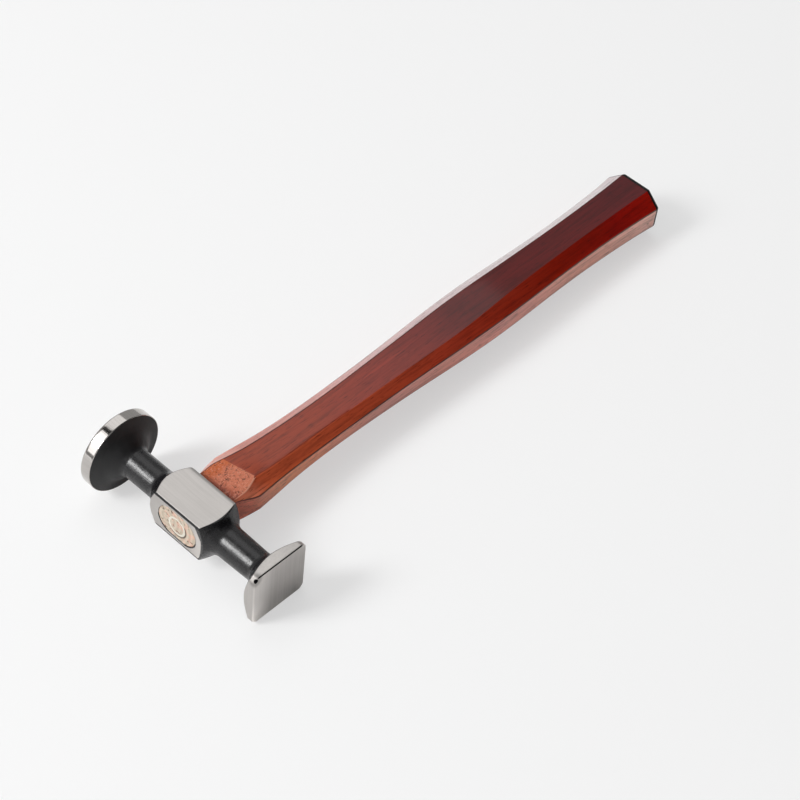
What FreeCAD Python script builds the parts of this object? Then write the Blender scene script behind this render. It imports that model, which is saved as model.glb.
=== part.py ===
import FreeCAD, Part
import math
import os
import Sketcher

# A two-faced hammer: one forged head with a round face and a square face,
# an octagonal hardwood handle, a wooden wedge and a steel ring wedge.
# X runs along the head towards the square face, Y along the handle towards its butt,
# and Z is up. The origin is the middle of the eye, where both axes cross.

# Driving sizes in millimetres and degrees.
SIZES = {
    # Head, from face to face
    "head_length": 102.0,
    "round_face_diameter": 40.0,
    "round_rim_thickness": 5.7,
    "round_back_angle": 77.0,
    "round_funnel_diameter": 27.3,
    "round_funnel_angle": 50.0,
    "round_funnel_rounding": 10.0,
    "round_throat_radius": 4.0,
    "round_edge_bevel": 0.6,
    "round_neck_diameter": 14.6,
    "square_face_width": 30.0,
    "square_corner_diameter": 39.4,
    "square_rim_thickness": 3.0,
    "square_back_angle": 60.0,
    "square_throat_radius": 4.5,
    "square_edge_radius": 1.2,
    "square_neck_block_diameter": 15.2,
    "square_neck_face_diameter": 14.0,
    # Eye block between the necks
    "block_length": 26.6,
    "block_depth": 21.3,
    "block_height": 21.6,
    "block_turned_diameter": 29.8,
    "round_shoulder_angle": 50.0,
    "square_shoulder_angle": 56.0,
    "round_shoulder_throat_radius": 5.5,
    "square_shoulder_throat_radius": 7.0,
    # Eye, wider at the front, where the tenon is spread
    "eye_front_length": 23.0,
    "eye_front_height": 16.0,
    "eye_rear_length": 20.6,
    "eye_rear_height": 14.6,
    # Handle, from the rear of the block to the butt
    "handle_length": 285.0,
    "tenon_gap": 0.1,
    "butt_bevel_length": 2.0,
    "butt_bevel_depth": 0.9,
    # Wooden wedge in the saw kerf
    "kerf_wedge_width": 20.0,
    "kerf_wedge_depth": 16.0,
    "kerf_wedge_front_thickness": 2.2,
    "kerf_wedge_tip_thickness": 0.8,
    # Steel ring wedge
    "ring_front_diameter": 10.6,
    "ring_tip_diameter": 9.0,
    "ring_bore_diameter": 7.8,
    "ring_depth": 9.0,
    "wedge_gap": 0.05,
    # Cuts start and end this far outside the solid
    "overrun": 2.0,
}

# Octagonal sections of the handle: name, place as a share of the handle's length,
# width, thickness, and the shares of both that the flats take.
SECTIONS = (
    ("root", 0.0, 20.8, 15.0, 0.97, 0.85),
    ("heel", 0.029, 25.8, 16.0, 0.80, 0.66),
    ("shoulder", 0.056, 28.5, 16.9, 0.56, 0.53),
    ("taper", 0.12, 25.5, 14.6, 0.59, 0.52),
    ("waist", 0.23, 23.9, 13.4, 0.59, 0.48),
    ("fore", 0.38, 25.2, 15.5, 0.61, 0.52),
    ("rise", 0.52, 28.2, 17.8, 0.61, 0.55),
    ("swell", 0.61, 29.2, 20.8, 0.56, 0.49),
    ("grip", 0.68, 28.3, 22.0, 0.53, 0.45),
    ("hollow", 0.80, 26.8, 22.8, 0.525, 0.435),
    ("flare", 0.92, 28.2, 24.1, 0.51, 0.435),
    ("butt", 1.0, 31.2, 25.4, 0.51, 0.44),
)

NODES = ("hammer_head", "handle", "kerf_wedge", "ring_wedge")


def make_sheet(doc):
    """The spreadsheet that holds every driving size under its own alias."""
    sheet = doc.addObject("Spreadsheet::Sheet", "Sizes")
    cells = dict(SIZES)
    for name, along_share, width, thickness, flat_share, side_share in SECTIONS:
        cells[name + "_along_share"] = along_share
        cells[name + "_width"] = width
        cells[name + "_thickness"] = thickness
        cells[name + "_flat_share"] = flat_share
        cells[name + "_side_share"] = side_share
    for row, (alias, value) in enumerate(cells.items(), start=1):
        sheet.set("A%d" % row, alias)
        sheet.set("B%d" % row, str(value))
        sheet.setAlias("B%d" % row, alias)
    doc.recompute()
    return sheet


def sized(text):
    """An expression in which each @word is a cell of the sheet."""
    return text.replace("@", "Sizes.")


def make_body(doc, label):
    body = doc.addObject("PartDesign::Body", label)
    body.Label = label
    return body


def origin_feature(body, role):
    for feature in body.Origin.OriginFeatures:
        if feature.Role == role:
            return feature
    raise ValueError("no origin feature " + role)


def make_sketch(body, name, role, offset=None):
    """An empty sketch on an origin plane of its body, moved along the plane's normal."""
    sketch = body.newObject("Sketcher::SketchObject", name)
    sketch.AttachmentSupport = (origin_feature(body, role), [""])
    sketch.MapMode = "FlatFace"
    if offset:
        sketch.setExpression(".AttachmentOffset.Base.z", sized(offset))
    return sketch


def bind(sketch, kind, arguments, expression):
    """A dimension of the sketch that follows an expression."""
    value = sketch.evalExpression(sized(expression))
    index = sketch.addConstraint(Sketcher.Constraint(kind, *arguments, float(value)))
    sketch.setExpression("Constraints[%d]" % index, sized(expression))


def corner_arc(before, corner, after, radius):
    """The rounding of an inner corner of a clockwise outline, with both of its ends."""
    back = (before - corner).normalize()
    on = (after - corner).normalize()
    half = back.getAngle(on) / 2
    start = corner + back * (radius / math.tan(half))
    end = corner + on * (radius / math.tan(half))
    centre = corner + (back + on).normalize() * (radius / math.sin(half))
    first_angle = math.atan2(start.y - centre.y, start.x - centre.x)
    last_angle = math.atan2(end.y - centre.y, end.x - centre.x)
    circle = Part.Circle(centre, FreeCAD.Vector(0, 0, 1), radius)
    return start, end, Part.ArcOfCircle(circle, first_angle, last_angle)


def add_outline(sketch, corners):
    """A closed outline whose corners are pairs of expressions.

    Where it runs clockwise, a third expression rounds an inner corner to that radius.
    """
    values = [[float(sketch.evalExpression(sized(each))) for each in corner] for corner in corners]
    places = [FreeCAD.Vector(value[0], value[1], 0) for value in values]
    count = len(corners)
    line_starts = list(places)
    line_ends = list(places)
    arcs = {}
    for number, value in enumerate(values):
        if len(value) == 3:
            line_ends[number], line_starts[number], arcs[number] = corner_arc(
                places[number - 1], places[number], places[(number + 1) % count], value[2])
    first = sketch.GeometryCount
    for number in range(count):
        following = (number + 1) % count
        sketch.addGeometry(Part.LineSegment(line_starts[number], line_ends[following]), False)
    for number, (across, up, *radius) in enumerate(corners):
        arriving = first + (number - 1) % count
        leaving = first + number
        if radius:
            corner = sketch.addGeometry(Part.Point(places[number]), True)
            arc = sketch.addGeometry(arcs[number], False)
            sketch.addConstraint(Sketcher.Constraint("PointOnObject", corner, 1, arriving))
            sketch.addConstraint(Sketcher.Constraint("PointOnObject", corner, 1, leaving))
            sketch.addConstraint(Sketcher.Constraint("Tangent", arriving, 2, arc, 1))
            sketch.addConstraint(Sketcher.Constraint("Tangent", arc, 2, leaving, 1))
            bind(sketch, "Radius", (arc,), radius[0])
        else:
            corner = leaving
            sketch.addConstraint(Sketcher.Constraint("Coincident", arriving, 2, leaving, 1))
        bind(sketch, "DistanceX", (-1, 1, corner, 1), across)
        bind(sketch, "DistanceY", (-1, 1, corner, 1), up)


def add_obround(sketch, length, height):
    """Two flats joined by half circles, centred on the sketch's origin."""
    radius = float(sketch.evalExpression(sized(height))) / 2
    reach = float(sketch.evalExpression(sized(length))) / 2 - radius
    up = FreeCAD.Vector(0, 0, 1)
    right = Part.Circle(FreeCAD.Vector(reach, 0, 0), up, radius)
    left = Part.Circle(FreeCAD.Vector(-reach, 0, 0), up, radius)
    quarter = math.pi / 2
    sketch.addGeometry(Part.ArcOfCircle(right, -quarter, quarter), False)
    sketch.addGeometry(
        Part.LineSegment(FreeCAD.Vector(reach, radius, 0), FreeCAD.Vector(-reach, radius, 0)), False)
    sketch.addGeometry(Part.ArcOfCircle(left, quarter, 3 * quarter), False)
    sketch.addGeometry(
        Part.LineSegment(FreeCAD.Vector(-reach, -radius, 0), FreeCAD.Vector(reach, -radius, 0)), False)
    sketch.addConstraint(Sketcher.Constraint("Tangent", 0, 2, 1, 1))
    sketch.addConstraint(Sketcher.Constraint("Tangent", 1, 2, 2, 1))
    sketch.addConstraint(Sketcher.Constraint("Tangent", 2, 2, 3, 1))
    sketch.addConstraint(Sketcher.Constraint("Tangent", 3, 2, 0, 1))
    sketch.addConstraint(Sketcher.Constraint("Horizontal", 1))
    sketch.addConstraint(Sketcher.Constraint("PointOnObject", 0, 3, -1))
    bind(sketch, "Radius", (0,), "(%s) / 2" % height)
    bind(sketch, "DistanceX", (-1, 1, 0, 3), "(%s) / 2 - (%s) / 2" % (length, height))
    bind(sketch, "DistanceX", (2, 3, -1, 1), "(%s) / 2 - (%s) / 2" % (length, height))


def settle(feature, doc):
    """Recompute, hide what fed the feature, and stop if it failed."""
    doc.recompute()
    if "Invalid" in feature.State or "Error" in feature.State:
        raise RuntimeError(feature.Label + " failed")
    return feature


def loft(doc, body, kind, name, sketches, ruled):
    feature = body.newObject("PartDesign::" + kind, name)
    feature.Profile = sketches[0]
    feature.Sections = sketches[1:]
    feature.Ruled = ruled
    return settle(feature, doc)


def turn(doc, body, kind, name, sketch, axis_name):
    """A full turn of the sketch about one of its body's origin axes."""
    feature = body.newObject("PartDesign::" + kind, name)
    feature.Profile = sketch
    feature.ReferenceAxis = (origin_feature(body, axis_name), [""])
    feature.Angle = 360
    return settle(feature, doc)


def cut_through(doc, body, name, sketch):
    """A pocket through everything on both sides of the sketch."""
    before = body.Tip.Shape.Volume
    feature = body.newObject("PartDesign::Pocket", name)
    feature.Profile = sketch
    feature.SideType = "Symmetric"
    feature.Type = "ThroughAll"
    settle(feature, doc)
    if not feature.Shape.Volume < before:
        raise RuntimeError(name + " cut nothing")
    return feature


def edges_where(shape, wanted):
    """Names of the edges that a test picks out."""
    return ["Edge%d" % number for number, edge in enumerate(shape.Edges, start=1) if wanted(edge)]


def round_edges(doc, body, name, wanted, radius):
    feature = body.newObject("PartDesign::Fillet", name)
    feature.Base = (feature.BaseFeature, edges_where(feature.BaseFeature.Shape, wanted))
    feature.setExpression("Radius", sized(radius))
    return settle(feature, doc)


def make_head(doc, sheet):
    """The forging: a turned profile cut by the flats of the block and of the square face."""
    body = make_body(doc, "hammer_head")

    round_neck = "@round_neck_diameter / 2"
    square_neck_at_block = "@square_neck_block_diameter / 2"
    square_neck_at_face = "@square_neck_face_diameter / 2"
    round_end = "-@head_length / 2"
    square_end = "@head_length / 2"
    round_rim_back = round_end + " + @round_rim_thickness"
    square_rim_back = square_end + " - @square_rim_thickness"
    round_funnel = round_rim_back + (
        " + (@round_face_diameter - @round_funnel_diameter) / 2 / tan(@round_back_angle)")
    round_throat = round_funnel + (
        " + (@round_funnel_diameter - @round_neck_diameter) / 2 / tan(@round_funnel_angle)")
    square_throat = square_rim_back + (
        " - (@square_corner_diameter - @square_neck_face_diameter) / 2 / tan(@square_back_angle)")
    round_shoulder = "-@block_length / 2" + (
        " - (@block_turned_diameter - @round_neck_diameter) / 2 / tan(@round_shoulder_angle)")
    square_shoulder = "@block_length / 2" + (
        " + (@block_turned_diameter - @square_neck_block_diameter) / 2 / tan(@square_shoulder_angle)")

    profile = make_sketch(body, "head_profile", "XY_Plane")
    add_outline(profile, (
        (round_end, "0"),
        (round_end, "@round_face_diameter / 2 - @round_edge_bevel"),
        (round_end + " + @round_edge_bevel", "@round_face_diameter / 2"),
        (round_rim_back, "@round_face_diameter / 2"),
        (round_funnel, "@round_funnel_diameter / 2", "@round_funnel_rounding"),
        (round_throat, round_neck, "@round_throat_radius"),
        (round_shoulder, round_neck, "@round_shoulder_throat_radius"),
        ("-@block_length / 2", "@block_turned_diameter / 2"),
        ("@block_length / 2", "@block_turned_diameter / 2"),
        (square_shoulder, square_neck_at_block, "@square_shoulder_throat_radius"),
        (square_throat, square_neck_at_face, "@square_throat_radius"),
        (square_rim_back, "@square_corner_diameter / 2"),
        (square_end, "@square_corner_diameter / 2"),
        (square_end, "0"),
    ))
    turn(doc, body, "Revolution", "turned_head", profile, "X_Axis")

    # Flats of the eye block, front and rear, then top and bottom.
    outside = "@block_turned_diameter / 2 + @overrun"
    for name, role, half in (
            ("block_front_and_rear", "XY_Plane", "@block_depth / 2"),
            ("block_cheeks", "XZ_Plane", "@block_height / 2")):
        flats = make_sketch(body, name + "_sketch", role)
        for side in ("", "-"):
            add_outline(flats, (
                (round_shoulder, "%s(%s)" % (side, half)),
                (square_shoulder, "%s(%s)" % (side, half)),
                (square_shoulder, "%s(%s)" % (side, outside)),
                (round_shoulder, "%s(%s)" % (side, outside)),
            ))
        cut_through(doc, body, name, flats)

    # Flats of the square face.
    beyond = square_end + " + @overrun"
    outside = "@square_corner_diameter / 2 + @overrun"
    for name, role in (("square_sides", "XY_Plane"), ("square_top_and_bottom", "XZ_Plane")):
        flats = make_sketch(body, name + "_sketch", role)
        for side in ("", "-"):
            add_outline(flats, (
                (square_throat, "%s@square_face_width / 2" % side),
                (beyond, "%s@square_face_width / 2" % side),
                (beyond, "%s(%s)" % (side, outside)),
                (square_throat, "%s(%s)" % (side, outside)),
            ))
        cut_through(doc, body, name, flats)

    face_place = float(profile.evalExpression(sized(square_end)))
    round_edges(
        doc, body, "square_face_edge",
        lambda edge: all(abs(vertex.X - face_place) < 1e-4 for vertex in edge.Vertexes),
        "@square_edge_radius")

    front = make_sketch(body, "eye_front", "XZ_Plane", "@block_depth / 2")
    add_obround(front, "@eye_front_length", "@eye_front_height")
    rear = make_sketch(body, "eye_rear", "XZ_Plane", "-@block_depth / 2")
    add_obround(rear, "@eye_rear_length", "@eye_rear_height")
    loft(doc, body, "SubtractiveLoft", "eye", [front, rear], True)
    return body


def make_handle_sections(body):
    """One octagonal sketch for each section of the handle."""
    sketches = {}
    for name, along_share, width, thickness, flat_share, side_share in SECTIONS:
        place = "-(@block_depth / 2 + @handle_length * @%s_along_share)" % name
        if name == "butt":
            place += " + @butt_bevel_length"
        sketch = make_sketch(body, name + "_section", "XZ_Plane", place)
        add_octagon(sketch, name, "0")
        sketches[name] = sketch
    return sketches


def add_octagon(sketch, name, inset):
    """The octagon of a named section, drawn in by an inset all round."""
    half_width = "(@%s_width / 2 - %s)" % (name, inset)
    half_height = "(@%s_thickness / 2 - %s)" % (name, inset)
    flat = "(@%s_width / 2 * @%s_flat_share)" % (name, name)
    side = "(@%s_thickness / 2 * @%s_side_share)" % (name, name)
    add_outline(sketch, (
        (flat, half_height),
        ("-" + flat, half_height),
        ("-" + half_width, side),
        ("-" + half_width, "-" + side),
        ("-" + flat, "-" + half_height),
        (flat, "-" + half_height),
        (half_width, "-" + side),
        (half_width, side),
    ))


def kerf_outline(gap):
    """The wedge's outline seen along X: across is Y and up is Z."""
    front = "-@block_depth / 2"
    tip = front + " + @kerf_wedge_depth + %s" % gap
    half_front = "(@kerf_wedge_front_thickness / 2 + %s)" % gap
    half_tip = "(@kerf_wedge_tip_thickness / 2 + %s)" % gap
    return (
        (front, half_front),
        (front, "-" + half_front),
        (tip, "-" + half_tip),
        (tip, half_tip),
    )


def ring_outline(gap):
    """Half of the ring's section: across is X and up is Y."""
    front = "-@block_depth / 2"
    tip = front + " + @ring_depth + %s" % gap
    return (
        ("@ring_bore_diameter / 2 - %s" % gap, front),
        ("@ring_front_diameter / 2 + %s" % gap, front),
        ("@ring_tip_diameter / 2 + %s" % gap, tip),
        ("@ring_bore_diameter / 2 - %s" % gap, tip),
    )


def cut_ring_seat(doc, body):
    """The groove that the ring wedge opens in the wood."""
    seat = make_sketch(body, body.Label + "_ring_seat_sketch", "XY_Plane")
    add_outline(seat, ring_outline("@wedge_gap"))
    turn(doc, body, "Groove", body.Label + "_ring_seat", seat, "Y_Axis")


def make_handle(doc, sheet):
    """The stick: a grip lofted through octagons, a ruled shoulder and a tapered tenon."""
    body = make_body(doc, "handle")
    sections = make_handle_sections(body)
    names = [section[0] for section in SECTIONS]
    shoulder_at = names.index("shoulder")

    grip = [sections[name] for name in names[shoulder_at:]]
    loft(doc, body, "AdditiveLoft", "grip_loft", grip, False)
    end = make_sketch(body, "butt_end", "XZ_Plane", "-(@block_depth / 2 + @handle_length)")
    add_octagon(end, "butt", "@butt_bevel_depth")
    loft(doc, body, "AdditiveLoft", "butt_bevel_loft", [sections["butt"], end], True)
    shoulder = [sections[name] for name in names[:shoulder_at + 1]]
    loft(doc, body, "AdditiveLoft", "shoulder_loft", shoulder, True)

    front = make_sketch(body, "tenon_front", "XZ_Plane", "@block_depth / 2")
    add_obround(front, "@eye_front_length - 2 * @tenon_gap", "@eye_front_height - 2 * @tenon_gap")
    rear = make_sketch(body, "tenon_rear", "XZ_Plane", "-@block_depth / 2")
    add_obround(rear, "@eye_rear_length - 2 * @tenon_gap", "@eye_rear_height - 2 * @tenon_gap")
    loft(doc, body, "AdditiveLoft", "tenon", [front, rear], True)

    kerf = make_sketch(body, "kerf_sketch", "YZ_Plane")
    add_outline(kerf, kerf_outline("@wedge_gap"))
    cut_through(doc, body, "kerf", kerf)
    cut_ring_seat(doc, body)
    return body


def make_kerf_wedge(doc, sheet):
    """The wooden wedge, cut through by the ring that is driven after it."""
    body = make_body(doc, "kerf_wedge")
    outline = make_sketch(body, "kerf_wedge_sketch", "YZ_Plane")
    add_outline(outline, kerf_outline("0"))
    pad = body.newObject("PartDesign::Pad", "kerf_wedge_pad")
    pad.Profile = outline
    pad.SideType = "Symmetric"
    pad.setExpression("Length", sized("@kerf_wedge_width"))
    settle(pad, doc)
    cut_ring_seat(doc, body)
    return body


def make_ring_wedge(doc, sheet):
    """The steel ring wedge, a short tube that thins towards its leading edge."""
    body = make_body(doc, "ring_wedge")
    section = make_sketch(body, "ring_wedge_sketch", "XY_Plane")
    add_outline(section, ring_outline("0"))
    turn(doc, body, "Revolution", "ring_wedge_turned", section, "Y_Axis")
    return body


def check(doc):
    """Every object is sound and every piece is one valid solid."""
    for item in doc.Objects:
        if "Invalid" in item.State or "Error" in item.State:
            raise RuntimeError(item.Label + " is in error")
    for label in NODES:
        shape = doc.getObjectsByLabel(label)[0].Shape
        if shape.isNull() or not shape.isValid() or len(shape.Solids) != 1:
            raise RuntimeError(label + " is not one valid solid")


def main():
    doc = FreeCAD.newDocument("hammer")
    sheet = make_sheet(doc)
    make_head(doc, sheet)
    make_handle(doc, sheet)
    make_kerf_wedge(doc, sheet)
    make_ring_wedge(doc, sheet)
    doc.recompute()
    check(doc)
    os.makedirs("parts", exist_ok=True)
    for label in NODES:
        shape = doc.getObjectsByLabel(label)[0].Shape
        shape.exportStep("parts/%s.step" % label)
        box = shape.BoundBox
        print(label, "volume", round(shape.Volume, 1),
              "x", round(box.XMin, 2), round(box.XMax, 2),
              "y", round(box.YMin, 2), round(box.YMax, 2),
              "z", round(box.ZMin, 2), round(box.ZMax, 2))


main()
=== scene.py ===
"""A two-faced hammer: forged steel head, varnished octagonal handle and its two wedges."""

import math

import bpy
from mathutils import Matrix, Vector, noise


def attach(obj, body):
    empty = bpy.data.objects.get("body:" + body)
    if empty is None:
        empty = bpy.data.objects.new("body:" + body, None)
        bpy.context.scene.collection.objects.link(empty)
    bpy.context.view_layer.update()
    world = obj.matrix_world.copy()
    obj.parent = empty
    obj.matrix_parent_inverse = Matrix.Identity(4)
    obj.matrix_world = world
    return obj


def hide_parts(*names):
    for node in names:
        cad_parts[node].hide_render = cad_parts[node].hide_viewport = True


bl_info = {
    "name": "Two-Faced Hammer",
    "version": (1, 0, 0),
    "blender": (4, 5, 0),
    "location": "View3D > Sidebar > Hammer",
    "description": "Builds a hammer with a forged head, an octagonal handle and its wedges",
    "category": "Object",
}

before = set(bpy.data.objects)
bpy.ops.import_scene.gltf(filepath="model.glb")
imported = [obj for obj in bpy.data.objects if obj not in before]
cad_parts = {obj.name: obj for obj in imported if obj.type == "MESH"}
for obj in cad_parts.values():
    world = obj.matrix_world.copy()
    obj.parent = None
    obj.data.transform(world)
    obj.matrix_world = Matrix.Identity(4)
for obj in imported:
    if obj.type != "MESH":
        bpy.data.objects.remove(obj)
MM = 0.001


# Sizes and colours

def length(name, description, default):
    """A size given in millimetres, kept in metres."""
    return bpy.props.FloatProperty(
        name=name, description=description, default=default * MM, unit="LENGTH", precision=5)


def colour(name, description, default):
    return bpy.props.FloatVectorProperty(
        name=name, description=description, default=default, size=3, subtype="COLOR", min=0, max=1)


class HammerHeadSizes(bpy.types.PropertyGroup):
    """Sizes of the forged head."""
    head_length: length("Head length", "From the round face to the square face", 102.0)
    round_radius: length("Round face radius", "Radius of the round face", 20.0)
    round_rim: length("Round rim", "Thickness of the bright rim of the round face", 5.7)
    round_funnel: length("Funnel radius", "Radius where the disc's back turns to the neck", 13.65)
    round_neck: length("Round neck radius", "Radius of the neck behind the round face", 7.3)
    square_neck: length("Square neck radius", "Radius of the other neck at the block", 7.6)
    square_half: length("Square face half width", "Half the width of the square face", 15.0)
    square_corner: length("Square corner radius", "Radius the corners are turned to", 19.7)
    square_rim: length("Square corner rim", "Thickness of the square face at its corners", 3.0)
    square_edge: length("Square face edge", "Rounding round the square face", 0.7)
    square_softness: length("Square edge softness", "How far its edges are rounded over", 0.45)
    block_half_length: length("Block half length", "Half the length of its full section", 13.3)
    block_half_depth: length("Block half depth", "Half the depth along the handle", 10.65)
    block_half_height: length("Block half height", "Half the block's height", 10.8)
    block_radius: length("Block radius", "Radius the block's long edges are turned to", 14.9)
    edge_softness: length("Edge softness", "How far the flats melt into the turned shape", 0.16)
    front_strip: length("Front strip", "Height where the front edges' strip starts", 9.4)
    roll_width: length("Roll-off width", "Width that rolls off towards the rear edges", 2.3)
    roll_depth: length("Roll-off depth", "Depth of the roll-off at the rear edges", 0.4)
    lumps: length("Lumps", "Height of the forging's lumps on the necks", 0.2)
    around: bpy.props.IntProperty(
        name="Steps around", description="Steps round the turned head", default=300, min=48)


class HammerHandleSizes(bpy.types.PropertyGroup):
    """Sizes of the handle and its tenon in the eye."""
    facet_edge: length("Facet edge", "Rounding along the edges between the facets", 0.42)
    butt_length: length("Butt rounding length", "Length of the rounding round the butt", 2.4)
    butt_depth: length("Butt rounding depth", "How far the butt's rounding draws in", 1.1)
    tenon_gap: length("Tenon gap", "Mean gap between the tenon's ends and the eye", 0.15)
    tenon_slack: length("Tenon slack", "Mean gap along the eye's long sides", 0.3)
    tenon_rise: length("Tenon rise", "How far the tenon sits above the eye's middle", 0.25)
    eye_front_half_length: length("Eye half length", "Half the eye's length in front", 11.5)
    eye_front_half_height: length("Eye half height", "Half the eye's height in front", 8.0)
    eye_rear_half_length: length("Eye rear half length", "Half its length at the rear", 10.3)
    eye_rear_half_height: length("Eye rear half height", "Half its height at the rear", 7.3)


class HammerWedgeSizes(bpy.types.PropertyGroup):
    """Sizes of the wooden wedge and the steel ring wedge."""
    wedge_width: length("Wedge width", "Width of the wooden wedge", 20.0)
    wedge_depth: length("Wedge depth", "Depth of the wooden wedge in the tenon", 16.0)
    wedge_front: length("Wedge front thickness", "Thickness of the wedge in front", 2.2)
    wedge_tip: length("Wedge tip thickness", "Thickness of the wedge at its tip", 0.8)
    ring_outer: length("Ring radius", "Outer radius of the ring wedge in front", 5.3)
    ring_bore: length("Ring bore radius", "Inner radius of the ring wedge", 3.9)
    ring_tip: length("Ring tip radius", "Outer radius of the ring wedge at its tip", 4.5)
    ring_depth: length("Ring depth", "Depth of the ring wedge in the tenon", 9.0)


class HammerColours(bpy.types.PropertyGroup):
    """Colours of the steel, the wood and the floor."""
    ground_steel: colour("Ground steel", "Steel of the faces and flats", (0.50, 0.475, 0.455))
    black_steel: colour("Black steel", "Black of the necks", (0.0045, 0.0042, 0.0048))
    bare_wood: colour("Bare wood", "Unvarnished wood behind the head", (0.54, 0.16, 0.085))
    end_grain: colour("End grain", "Wood seen in the eye", (0.44, 0.36, 0.27))
    floor: colour("Floor", "Pale floor", (0.93, 0.93, 0.93))


# Small helpers

def take(piece=None):
    """Deselects everything, and makes a piece the only one selected and the active one."""
    if bpy.context.object and bpy.context.object.mode != "OBJECT":
        object_mode()
    bpy.ops.object.select_all(action="DESELECT")
    if piece:
        piece.select_set(True)
        bpy.context.view_layer.objects.active = piece


def object_mode():
    bpy.ops.object.mode_set(mode="OBJECT")


def edit(piece, mode="VERT"):
    """Opens a piece in edit mode with all of it selected."""
    take(piece)
    bpy.ops.object.mode_set(mode="EDIT")
    bpy.ops.mesh.select_mode(type=mode)
    bpy.ops.mesh.select_all(action="SELECT")


def select_faces(piece, test):
    """Selects the faces that a test picks, and goes on in edit mode."""
    edit(piece, "FACE")
    bpy.ops.mesh.select_all(action="DESELECT")
    object_mode()
    for face in piece.data.polygons:
        face.select = test(face)
    bpy.ops.object.mode_set(mode="EDIT")


def extrude(*step):
    bpy.ops.mesh.extrude_region_move(TRANSFORM_OT_translate={"value": step})


def modify(piece, kind, **settings):
    """Adds a modifier, sets it and applies it."""
    take(piece)
    modifier = piece.modifiers.new(kind.lower(), kind)
    for name, value in settings.items():
        setattr(modifier, name, value)
    bpy.ops.object.modifier_apply(modifier=modifier.name)


def clean_up(piece, distance=1e-6):
    edit(piece)
    bpy.ops.mesh.remove_doubles(threshold=distance)
    bpy.ops.mesh.normals_make_consistent(inside=False)
    object_mode()


def turned(name, points, steps, axis):
    """A body turned round an axis through the origin from a line of points."""
    take()
    bpy.ops.mesh.primitive_plane_add(size=0.001, location=(0, 0, 0))
    piece = bpy.context.object
    piece.name = name
    edit(piece)
    bpy.ops.mesh.merge(type="CENTER")
    bpy.ops.transform.translate(value=points[0])
    for here, there in zip(points, points[1:]):
        extrude(*(b - a for a, b in zip(here, there)))
    edit(piece)
    bpy.ops.mesh.spin(steps=steps, angle=2 * math.pi, center=(0, 0, 0), axis=axis)
    object_mode()
    clean_up(piece)
    return piece


def loft(name, rings):
    """A closed body through rings of points, drawn out one ring at a time."""
    take()
    bpy.ops.mesh.primitive_circle_add(vertices=len(rings[0]), radius=0.01, fill_type="NGON")
    body = bpy.context.object
    body.name = name
    for vert, place in zip(body.data.vertices, rings[0]):
        vert.co = place
    edit(body)
    for before, after in zip(rings, rings[1:]):
        extrude(0, MM, 0)
        object_mode()
        for vert in body.data.vertices:
            if vert.select:
                here = (vert.co.x, vert.co.z)
                nearest = min(range(len(before)), key=lambda n: math.dist(before[n][::2], here))
                vert.co = after[nearest]
        bpy.ops.object.mode_set(mode="EDIT")
    object_mode()
    return body


def set_materials(piece, *materials):
    piece.data.materials.clear()
    for material in materials:
        piece.data.materials.append(material)


def finish(piece, slot, *nodes):
    """Puts a finished piece on the hammer in place of the nodes it stands for."""
    take(piece)
    bpy.ops.object.shade_smooth_by_angle(angle=math.radians(35))
    piece.data.name = piece.name
    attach(piece, "root")
    if nodes:
        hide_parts(*nodes)


# Shader helpers

BLACK = (0, 0, 0)


def scaled(shade, share):
    """A colour made darker, or paler."""
    return tuple(share * c for c in shade)


def one_by_one(operation):
    """A method that joins values by a maths operation, one after another."""
    def join(self, value, *others):
        for other in others:
            value = self.math(operation, value, other)
        return value
    return join


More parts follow.
